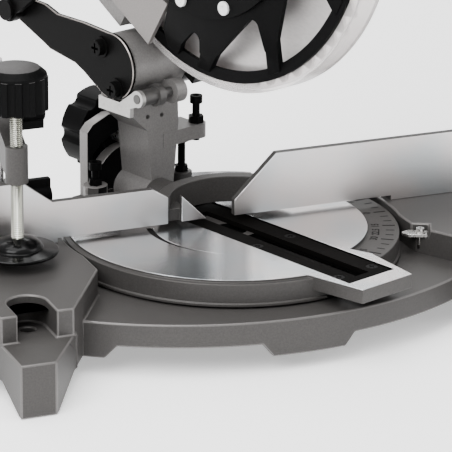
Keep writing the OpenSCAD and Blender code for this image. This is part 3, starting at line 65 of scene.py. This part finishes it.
def material(name, color, metallic=0.0, rough=0.5, noise=(0, 0), bump=(0, 0), coat=0.0, stretch=(1, 1, 1),
             spec=0.5):
    """Noise and bump are (scale, amount); the noise varies colour and roughness."""
    m = bpy.data.materials.new(name)
    m.use_nodes = True
    nt = m.node_tree
    b = nt.nodes["Principled BSDF"]
    b.inputs["Metallic"].default_value = metallic
    b.inputs["Coat Weight"].default_value = coat
    b.inputs["Specular IOR Level"].default_value = spec
    b.inputs["Coat Roughness"].default_value = COAT_ROUGH
    tc = nt.nodes.new("ShaderNodeTexCoord")
    mp = nt.nodes.new("ShaderNodeMapping")
    mp.inputs["Scale"].default_value = stretch
    nt.links.new(tc.outputs["Object"], mp.inputs["Vector"])
    tex = nt.nodes.new("ShaderNodeTexNoise")
    tex.inputs["Scale"].default_value = noise[0] or 300
    tex.inputs["Detail"].default_value = 4
    nt.links.new(mp.outputs["Vector"], tex.inputs["Vector"])
    ramp = nt.nodes.new("ShaderNodeValToRGB")
    k = noise[1]
    ramp.color_ramp.elements[0].position = 0.3
    ramp.color_ramp.elements[1].position = 0.7
    ramp.color_ramp.elements[0].color = [c * (1 - k) for c in color] + [1]
    ramp.color_ramp.elements[1].color = [min(1, c * (1 + k)) for c in color] + [1]
    nt.links.new(tex.outputs["Fac"], ramp.inputs["Fac"])
    nt.links.new(ramp.outputs["Color"], b.inputs["Base Color"])
    rr = nt.nodes.new("ShaderNodeMapRange")
    rr.inputs["To Min"].default_value = max(0.02, rough - ROUGH_SPREAD)
    rr.inputs["To Max"].default_value = min(1, rough + ROUGH_SPREAD)
    nt.links.new(tex.outputs["Fac"], rr.inputs["Value"])
    nt.links.new(rr.outputs["Result"], b.inputs["Roughness"])
    if bump[1]:
        bt = nt.nodes.new("ShaderNodeTexNoise")
        bt.inputs["Scale"].default_value = bump[0]
        bt.inputs["Detail"].default_value = 3
        nt.links.new(mp.outputs["Vector"], bt.inputs["Vector"])
        bn = nt.nodes.new("ShaderNodeBump")
        bn.inputs["Strength"].default_value = bump[1]
        bn.inputs["Distance"].default_value = BUMP_DEPTH
        nt.links.new(bt.outputs["Fac"], bn.inputs["Height"])
        nt.links.new(bn.outputs["Normal"], b.inputs["Normal"])
    return m


cast = material("cast_paint", (0.047, 0.0442, 0.0425), 0.28, 0.47, (900, 0.14), (1400, 0.30), spec=0.34)
# Lighter paint for the rounds of the castings: a painted highlight along their edges
cast_highlight_rounds = material("cast_highlight_rounds", (0.112, 0.106, 0.103), 0.42, 0.40, (900, 0.10), (1400, 0.2))
# Lighter paint for the side faces of the quadrant: a painted highlight
quadrant_side_highlight = material("quadrant_side_highlight", (0.185, 0.176, 0.171), 0.45, 0.38, (900, 0.10), (1400, 0.2))
ring_paint = material("ring_paint", (0.046, 0.0432, 0.0415), 0.30, 0.50, (1100, 0.2), (1600, 0.4), spec=0.34)
post_paint = material("post_paint", (0.175, 0.168, 0.164), 0.35, 0.46, (900, 0.14), (1400, 0.3), spec=0.38)
# Dark grey paint of the head's barrel, made darker still as painted shade for the guard's shadow
barrel_dark_and_shade = material("barrel_dark_and_shade", (0.006, 0.0057, 0.0055), 0.1, 0.34, (900, 0.14), (1400, 0.25), spec=0.22)
champagne = material("champagne_paint", (0.200, 0.186, 0.179), 0.5, 0.40, (1200, 0.1), (1800, 0.15))
bright = material("machined_face", (0.80, 0.80, 0.80), 1.0, 0.24, (160, 0.06), (420, 0.10), stretch=(0.3, 3, 1))
fence_face = material("fence_face", (0.74, 0.73, 0.72), 1.0, 0.36, (160, 0.08), (420, 0.15), stretch=(1, 1, 4))
steel = material("bright_steel", (0.60, 0.59, 0.575), 1.0, 0.28, (500, 0.06), (900, 0.08))
latch_steel = material("latch_steel", (0.42, 0.41, 0.40), 0.8, 0.36, (500, 0.08), (900, 0.1))
blade_steel = material("blade_steel", (0.66, 0.63, 0.62), 0.65, 0.42, (240, 0.06), (600, 0.10), stretch=(1, 1, 3))
black = material("black_plastic", (0.0031, 0.0031, 0.0032), 0.0, 0.42, (700, 0.2), (1600, 0.12), spec=0.032)
# Lighter grey for the upward faces of the clamp knob: a painted highlight
knob_top_highlight = material("painted_knob_highlight", (0.040, 0.038, 0.038), 0.0, 0.55, (500, 0.2), (1600, 0.12), spec=0.3)
gloss_black = material("gloss_black", (0.002, 0.002, 0.0021), 0.0, 0.18, (400, 0.2), (900, 0.05),
                       coat=0.04, spec=0.12)
black_steel = material("black_steel", (0.0031, 0.0030, 0.0030), 0.02, 0.42, (700, 0.2), (1200, 0.1), spec=0.04)
# Lighter metal for the rounds of the guard bracket: a painted highlight along its edges
plate_highlight_rounds = material("plate_highlight_rounds", (0.33, 0.30, 0.285), 0.7, 0.34, (700, 0.1), (1200, 0.1))
pit = material("insert_black", (0.0026, 0.0023, 0.0021), 0.0, 0.62, (700, 0.2), (1600, 0.1), spec=0.022)
# Near black for the walls of the kerf slot: painted shade deep in the slot
slot_shade = material("painted_slot_shade", (0.0015, 0.0015, 0.0015), 0.0, 0.8, (700, 0.2), (1600, 0.1), spec=0.04)
red = material("red_plastic", (0.42, 0.03, 0.02), 0.0, 0.35, (600, 0.1), (1200, 0.08))
white_screw = material("zinc_screw", (0.86, 0.86, 0.86), 0.35, 0.32, (500, 0.05), (900, 0.06))
clear = material("clear_guard", (0.95, 0.92, 0.91), 0.0, 0.20, (60, 0.03), (90, 0.1))
clear.node_tree.nodes["Principled BSDF"].inputs["Transmission Weight"].default_value = 0.75
clear.node_tree.nodes["Principled BSDF"].inputs["IOR"].default_value = 1.30
# Dark print of the scale; also painted shade on the floor and walls of the table's groove
print_and_groove_shade = material("scale_print_groove_shade", (0.0075, 0.007, 0.0068), 0.0, 0.7, (600, 0.1), spec=0.1)
pin_steel = material("pin_steel", (0.085, 0.082, 0.080), 0.6, 0.40, (500, 0.08), (900, 0.1))


def clouded(m, a, b, scale):
    """Soft patches of two tints over a machined face."""
    nt = m.node_tree
    tc = nt.nodes.new("ShaderNodeTexCoord")
    tex = nt.nodes.new("ShaderNodeTexNoise")
    tex.inputs["Scale"].default_value = scale
    tex.inputs["Detail"].default_value = 1.5
    nt.links.new(tc.outputs["Object"], tex.inputs["Vector"])
    ramp = nt.nodes.new("ShaderNodeValToRGB")
    ramp.color_ramp.elements[0].position = 0.38
    ramp.color_ramp.elements[1].position = 0.62
    ramp.color_ramp.elements[0].color = (*a, 1)
    ramp.color_ramp.elements[1].color = (*b, 1)
    nt.links.new(tex.outputs["Fac"], ramp.inputs["Fac"])
    nt.links.new(ramp.outputs["Color"], nt.nodes["Principled BSDF"].inputs["Base Color"])


clouded(fence_face, (0.71, 0.67, 0.66), (0.63, 0.652, 0.666), 24)
clouded(bright, (0.84, 0.80, 0.79), (0.72, 0.75, 0.77), 26)


def paint_reflection_bands(m, along, stops):
    """Painted reflection: soft darker bands across a machined face, standing in for the dark things it reflects;
    stops are (metres, factor, blue tint) along a direction.
    """
    nt = m.node_tree
    b = nt.nodes["Principled BSDF"]
    source = b.inputs["Base Color"].links[0].from_socket
    tc = nt.nodes.new("ShaderNodeTexCoord")
    dot = nt.nodes.new("ShaderNodeVectorMath")
    dot.operation = "DOT_PRODUCT"
    dot.inputs[1].default_value = along
    nt.links.new(tc.outputs["Object"], dot.inputs[0])
    lo, hi = stops[0][0], stops[-1][0]
    span = nt.nodes.new("ShaderNodeMapRange")
    span.inputs["From Min"].default_value = lo
    span.inputs["From Max"].default_value = hi
    nt.links.new(dot.outputs["Value"], span.inputs["Value"])
    ramp = nt.nodes.new("ShaderNodeValToRGB")
    ramp.color_ramp.interpolation = "EASE"
    while len(ramp.color_ramp.elements) < len(stops):
        ramp.color_ramp.elements.new(0.5)
    for e, (at, factor, blue) in zip(ramp.color_ramp.elements, stops):
        e.position = (at - lo) / (hi - lo)
        e.color = (factor, factor * (1 + blue / 2), factor * (1 + blue), 1)
    nt.links.new(span.outputs["Result"], ramp.inputs["Fac"])
    mix = nt.nodes.new("ShaderNodeMix")
    mix.data_type = "RGBA"
    mix.blend_type = "MULTIPLY"
    mix.inputs["Factor"].default_value = 1
    nt.links.new(source, mix.inputs["A"])
    nt.links.new(ramp.outputs["Color"], mix.inputs["B"])
    nt.links.new(mix.outputs["Result"], b.inputs["Base Color"])


# Painted reflection bands run across the view, from its left to its right
ACROSS = (0.923, -0.384, 0)
paint_reflection_bands(bright, ACROSS, [(-0.11, 0.96, 0), (-0.036, 0.92, 0), (-0.029, 0.45, 0.05), (-0.0165, 0.33, 0.06),
                         (-0.0085, 0.66, 0.04), (-0.002, 0.38, 0.05), (0.008, 0.36, 0.05),
                         (0.015, 0.78, 0), (0.024, 0.93, 0), (0.16, 0.96, 0)])


thread = material("thread_steel", (0.62, 0.62, 0.56), 1.0, 0.24, (500, 0.05), (900, 0.08))

look = {
    "base_casting": cast, "centre_bolt": black_steel, "fence": cast, "fence_bolts": black_steel,
    "mitre_pointer": steel, "pointer_screw": steel, "clamp_post": steel, "post_lock_knob": black, "clamp_arm": cast,
    "clamp_thumb_knob": black, "clamp_pad": gloss_black, "clamp_rod": thread, "clamp_knob": black,
    "turntable": cast, "kerf_insert": pit, "insert_screws": black_steel, "bevel_shaft": steel,
    "bevel_stop_bolts": black_steel, "bevel_stop_nuts": black_steel, "bevel_post": post_paint,
    "bevel_lock_stud": steel, "bevel_lock_knob": black, "latch_plate": latch_steel, "latch_pin": pin_steel,
    "depth_stop_bolt": black_steel, "depth_stop_nut": black_steel, "guard_bracket": black_steel,
    "bracket_screws": black_steel, "link_pin": black_steel, "head_shaft": steel, "return_spring": steel,
    "head_arm": barrel_dark_and_shade, "gear_cover": post_paint, "upper_guard": champagne, "motor_housing": black,
    "motor_end_cap": black, "brush_caps": black, "armature": steel, "spindle": steel, "spindle_gear": steel,
    "inner_flange": steel, "outer_flange": steel, "arbor_bolt": black_steel, "blade": blade_steel,
    "lower_guard": black, "guard_rim": clear, "guard_hub": black, "guard_screws": white_screw,
    "guard_link": black_steel, "handle_left": black, "handle_right": black, "handle_screws": steel,
    "trigger": black, "lock_off_button": red, "spindle_lock": black, "carry_handle": black,
    "dust_port": post_paint, "cord_gland": black,
}
for name, m in look.items():
    o = nodes[name]
    o.data.materials.clear()
    o.data.materials.append(m)


# Rounded copies of the castings and mouldings

# Nodes whose short edges would otherwise cut down the width of every round
LOOSE = {"base_casting", "turntable", "fence", "guard_bracket"}
# Distances in metres under which corners are joined: in all nodes, and in those with very short edges
WELD, COARSE_WELD = 2e-6, 5e-5
FLAT_ANGLE = math.radians(0.6)


def rounded(name, width, seg=2, faces=(), edge=None, angle=30, weld=WELD, sharp=None):
    """A copy of a CAD node with softened edges, shown in its place.

    The width is in millimetres. faces are pairs of a material and a rule(centre, normal), edge is the material of
    the rounds, where given a lighter paint that is a painted highlight along the edges, and sharp is a rule(point)
    for the places that keep their edges.
    """
    src = nodes[name]
    bm = bmesh.new()
    bm.from_mesh(src.data)
    bmesh.ops.remove_doubles(bm, verts=bm.verts, dist=weld)
    bmesh.ops.dissolve_limit(bm, angle_limit=FLAT_ANGLE, verts=bm.verts, edges=bm.edges)
    weight = bm.edges.layers.float.new("bevel_weight_edge")
    for e in bm.edges:
        kept = sharp and any(sharp(v.co) for v in e.verts)
        e[weight] = float(e.calc_face_angle(0) > math.radians(angle) and not kept)
    me = bpy.data.meshes.new(name + "_soft")
    bm.to_mesh(me)
    bm.free()
    if "custom_normal" in me.attributes:
        me.attributes.remove(me.attributes["custom_normal"])
    me.materials.append(look[name])
    for m, rule in faces:
        me.materials.append(m)
    for p in me.polygons:
        picked = [i + 1 for i, (m, rule) in enumerate(faces) if rule(p.center, p.normal)]
        p.material_index = picked[0] if picked else 0
    me.shade_smooth()
    me.set_sharp_from_angle(angle=math.radians(angle))
    ob = bpy.data.objects.new(name + "_soft", me)
    bpy.context.scene.collection.objects.link(ob)
    bv = ob.modifiers.new("round", "BEVEL")
    bv.width = width / 1000
    bv.segments = seg
    bv.limit_method = "WEIGHT"
    bv.use_clamp_overlap = name not in LOOSE
    bv.harden_normals = False
    if edge:
        me.materials.append(edge)
        bv.material = len(me.materials) - 1
    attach(ob, body_of[name])
    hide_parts(name)


# Depths of the groove and of the scale ring under the table face
GROOVE_DEPTH, RING_DEPTH = 0.0008, 0.0025


def table_frame(c):
    """Sideways and rearward place on the swung table, and height over its face."""
    return c.dot(XS), c.dot(YS), c.z - TABLE


def level(c, n):
    return n.z > 0.9


def table_top(c, n):
    return level(c, n) and abs(c.z - TABLE) < 0.0003


# The groove's floor and walls take the dark print colour: painted shade in the groove
def groove_floor(c, n):
    return level(c, n) and abs(c.z - TABLE + GROOVE_DEPTH) < 0.0002 and math.hypot(c.x, c.y) < 0.06


def groove_wall(c, n):
    x, _, z = table_frame(c)
    return abs(n.z) < 0.5 and -0.0009 < z < -0.0001 and x < -0.03 and 0.045 < math.hypot(c.x, c.y) < 0.06


# The walls of the kerf slot under the insert take near black: painted shade deep in the slot
def kerf_wall(c, n):
    x, y, z = table_frame(c)
    return abs(x) < 0.0192 and -0.133 < y < 0.06 and z < -0.0005 and abs(n.z) < 0.9


def scale_ring(c, n):
    return level(c, n) and abs(c.z - TABLE + RING_DEPTH) < 0.0002


def on_quadrant(c):
    _, y, z = table_frame(c)
    return z > 0 and y > 0.085


def quadrant_face(c, n):
    return n.dot(YS) < -0.9 and on_quadrant(c)


# The quadrant's side faces take a lighter grey paint: a painted highlight
def quadrant_edge(c, n):
    return abs(n.dot(YS)) < 0.3 and on_quadrant(c)


screw_points = [v.co for v in nodes["pointer_screw"].data.vertices]
screw_at = sum(screw_points, Vector()) / len(screw_points)


def by_pointer(p):
    """Close to the pointer's screw hole, which breaks through the wing's side."""
    return (p - screw_at).xy.length < 0.006


# The casting's rounds take the lighter paint: a painted highlight along its edges
rounded("base_casting", 1.1, 3, edge=cast_highlight_rounds, weld=COARSE_WELD, sharp=by_pointer)
rounded("turntable", 0.4, 2, [(bright, table_top), (print_and_groove_shade, groove_floor), (print_and_groove_shade, groove_wall), (slot_shade, kerf_wall),
                              (ring_paint, scale_ring), (black, quadrant_face), (quadrant_side_highlight, quadrant_edge)], weld=COARSE_WELD)
rounded("fence", 0.4, 2, [(fence_face, lambda c, n: n.y < -0.9 and c.y < 0.0065)], weld=COARSE_WELD)
rounded("bevel_post", 0.8, 2, weld=COARSE_WELD)
rounded("upper_guard", 1.2, 3)
rounded("clamp_arm", 1.2, 2)
# The head's barrel takes the darkened paint: painted shade of the guard's shadow
rounded("head_arm", 1.0, 2)
# The bracket's rounds take the lighter metal: a painted highlight along its edges
rounded("guard_bracket", 0.6, 2, edge=plate_highlight_rounds, weld=COARSE_WELD)
rounded("guard_hub", 0.8, 2)
rounded("lower_guard", 0.5, 2)
# The knob's upward faces take the lighter grey: a painted highlight
rounded("clamp_knob", 1.4, 3, [(knob_top_highlight, level)])
rounded("bevel_lock_knob", 2.0, 3)
rounded("clamp_pad", 0.6, 2)
rounded("handle_left", 3.0, 3)
rounded("handle_right", 3.0, 3)
rounded("carry_handle", 2.5, 3)
rounded("motor_housing", 1.5, 2)
rounded("motor_end_cap", 2.0, 3)
rounded("gear_cover", 1.0, 2)
rounded("dust_port", 0.8, 2)
rounded("clamp_thumb_knob", 0.8, 2)
rounded("post_lock_knob", 0.8, 2)
rounded("latch_plate", 0.4, 2)
rounded("mitre_pointer", 0.4, 2)
rounded("guard_screws", 0.3, 2)

# The clamp rod's thread

THREAD_PITCH, THREAD_DEPTH = 0.00125, 0.0007


def screw_thread(name, pitch, depth, steps=24, rows_a_turn=4):
    """A helical V thread in place of a plain upright rod; pitch and depth in metres."""
    co = [v.co for v in nodes[name].data.vertices]
    lo = Vector([min(v[i] for v in co) for i in range(3)])
    hi = Vector([max(v[i] for v in co) for i in range(3)])
    mid, r = (lo + hi) / 2, (hi.x - lo.x) / 2
    rows = round((hi.z - lo.z) / pitch * rows_a_turn)
    bm = bmesh.new()
    ring = []
    for i in range(rows + 1):
        z = lo.z + (hi.z - lo.z) * i / rows
        level_ring = []
        for j in range(steps):
            phase = ((z - lo.z) / pitch - j / steps) % 1
            rad = r - depth * abs(2 * phase - 1)
            a = 2 * math.pi * j / steps
            level_ring.append(bm.verts.new((mid.x + rad * math.cos(a), mid.y + rad * math.sin(a), z)))
        ring.append(level_ring)
    for low, high in zip(ring, ring[1:]):
        for j in range(steps):
            k = (j + 1) % steps
            bm.faces.new((low[j], low[k], high[k], high[j]))
    bm.faces.new(ring[0][::-1])
    bm.faces.new(ring[-1])
    me = bpy.data.meshes.new(name + "_thread")
    bm.to_mesh(me)
    bm.free()
    me.materials.append(look[name])
    ob = bpy.data.objects.new(name + "_thread", me)
    bpy.context.scene.collection.objects.link(ob)
    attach(ob, body_of[name])
    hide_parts(name)


screw_thread("clamp_rod", THREAD_PITCH, THREAD_DEPTH)

# Marks on the table: the angle scale and its numbers

# Where zero stands in degrees, and the height and the lift of the marks in millimetres over the table and the ring
SCALE_ZERO, SCALE_Z, MARK_LIFT = -24.5, -2.5, 0.06
# Inner and outer radius and half width of the ticks, and radius of the numbers, in millimetres
LONG_TICK, SHORT_TICK, NUMBER_R = (96.2, 104.2, 0.8), (98, 103.2, 0.62), 91.8
# Height of the numbers and how far their strokes are widened, in metres
NUMBER_SIZE, NUMBER_BOLD = 0.0066, 0.00018


def marks(name, faces, z, mat):
    """Flat faces given in the swung table's frame, in millimetres, just proud of the surface at z."""
    bm = bmesh.new()
    for f in faces:
        bm.faces.new([bm.verts.new(on_table(x, y, z + MARK_LIFT)) for x, y in f])
    me = bpy.data.meshes.new(name)
    bm.to_mesh(me)
    bm.free()
    me.materials.append(mat)
    ob = bpy.data.objects.new(name, me)
    bpy.context.scene.collection.objects.link(ob)
    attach(ob, "turntable")


def around(r, a):
    return r * math.cos(math.radians(a)), r * math.sin(math.radians(a))


ticks = []
for v in range(-45, 46, 5):
    a = SCALE_ZERO - v
    r0, r1, w = LONG_TICK if v % 15 == 0 else SHORT_TICK
    d = math.degrees(w / 100)
    ticks.append([around(r0, a - d), around(r1, a - d), around(r1, a + d), around(r0, a + d)])
marks("scale_ticks", ticks, SCALE_Z, print_and_groove_shade)

for v in (-45, -30, -22.5, -15, 0, 15, 22.5, 30, 45):
    cu = bpy.data.curves.new("digits", "FONT")
    cu.body = "%g" % abs(v)
    cu.size = NUMBER_SIZE
    cu.offset = NUMBER_BOLD
    cu.align_x = "CENTER"
    cu.align_y = "CENTER"
    tmp = bpy.data.objects.new("digits", cu)
    bpy.context.scene.collection.objects.link(tmp)
    bpy.context.view_layer.update()
    me = bpy.data.meshes.new_from_object(tmp.evaluated_get(bpy.context.evaluated_depsgraph_get()))
    bpy.data.objects.remove(tmp)
    a = SCALE_ZERO - v
    x, y = around(NUMBER_R, a)
    place = Matrix.Translation(on_table(x, y, SCALE_Z + MARK_LIFT))
    me.transform(place @ Matrix.Rotation(math.radians(a + 90) + MITRE, 4, "Z"))
    me.materials.clear()
    me.materials.append(print_and_groove_shade)
    ob = bpy.data.objects.new("scale_%g_%s" % (abs(v), "left" if v > 0 else "right"), me)
    bpy.context.scene.collection.objects.link(ob)
    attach(ob, "turntable")

# Studio

bpy.ops.mesh.primitive_plane_add(size=14, location=(0, 0, -0.0002))
floor = bpy.context.object
floor.name = "floor"
fm = material("pale_floor", (0.95, 0.95, 0.95), 0.0, 0.85, (3, 0.01))
fm.node_tree.nodes["Principled BSDF"].inputs["Emission Color"].default_value = (1, 1, 1, 1)
fm.node_tree.nodes["Principled BSDF"].inputs["Emission Strength"].default_value = 0.5
floor.data.materials.append(fm)

world = bpy.data.worlds.new("studio")
bpy.context.scene.world = world
world.use_nodes = True
wt = world.node_tree
tc = wt.nodes.new("ShaderNodeTexCoord")
xyz = wt.nodes.new("ShaderNodeSeparateXYZ")
wt.links.new(tc.outputs["Generated"], xyz.inputs["Vector"])
sky = wt.nodes.new("ShaderNodeValToRGB")
sky.color_ramp.elements[0].position = 0.15
sky.color_ramp.elements[0].color = (0.45, 0.45, 0.45, 1)
sky.color_ramp.elements[1].position = 0.75
sky.color_ramp.elements[1].color = (1, 1, 1, 1)
wt.links.new(xyz.outputs["Z"], sky.inputs["Fac"])
wt.links.new(sky.outputs["Color"], wt.nodes["Background"].inputs["Color"])
wt.nodes["Background"].inputs["Strength"].default_value = 1.25


def softbox(name, place, target, size, power):
    """An area light of size (width, height) in metres that looks at the target."""
    d = bpy.data.lights.new(name, "AREA")
    d.shape = "RECTANGLE"
    d.size, d.size_y = size
    d.energy = power
    o = bpy.data.objects.new(name, d)
    bpy.context.scene.collection.objects.link(o)
    o.location = place
    o.rotation_euler = (Vector(target) - Vector(place)).to_track_quat("-Z", "Y").to_euler()


softbox("key", (-1.2, -0.8, 1.3), (0, 0, 0.1), (1.2, 1.0), 38)
softbox("fill", (1.4, -0.8, 0.9), (0, 0, 0.1), (1.0, 1.0), 10)
softbox("back", (0.1, 1.5, 1.3), (0, 0, 0.1), (1.8, 0.9), 16)
softbox("top", (-0.3, -0.1, 2.2), (0, 0, 0), (1.8, 1.8), 52)

# Camera at the fitted viewpoint; the focal length and the width are in pixels

FOCAL, WIDTH = 3000, 452
AZ, EL, ROLL = math.radians(-22.578), math.radians(19.592), math.radians(0.6)
back = Vector((math.sin(AZ) * math.cos(EL), -math.cos(AZ) * math.cos(EL), math.sin(EL)))
r0 = Vector((math.cos(AZ), math.sin(AZ), 0))
u0 = back.cross(r0)
right = r0 * math.cos(ROLL) + u0 * math.sin(ROLL)
up = u0 * math.cos(ROLL) - r0 * math.sin(ROLL)
eye = back * 1.8915 + right * -0.002805 + up * -0.001959 + Vector((0, 0, TABLE))
cd = bpy.data.cameras.new("camera")
cd.sensor_width = 36
cd.lens = cd.sensor_width * FOCAL / WIDTH
cd.clip_start = 0.05
cam = bpy.data.objects.new("camera", cd)
bpy.context.scene.collection.objects.link(cam)
cam.matrix_world = Matrix((
    (right.x, up.x, back.x, eye.x),
    (right.y, up.y, back.y, eye.y),
    (right.z, up.z, back.z, eye.z),
    (0, 0, 0, 1),
))
bpy.context.scene.camera = cam
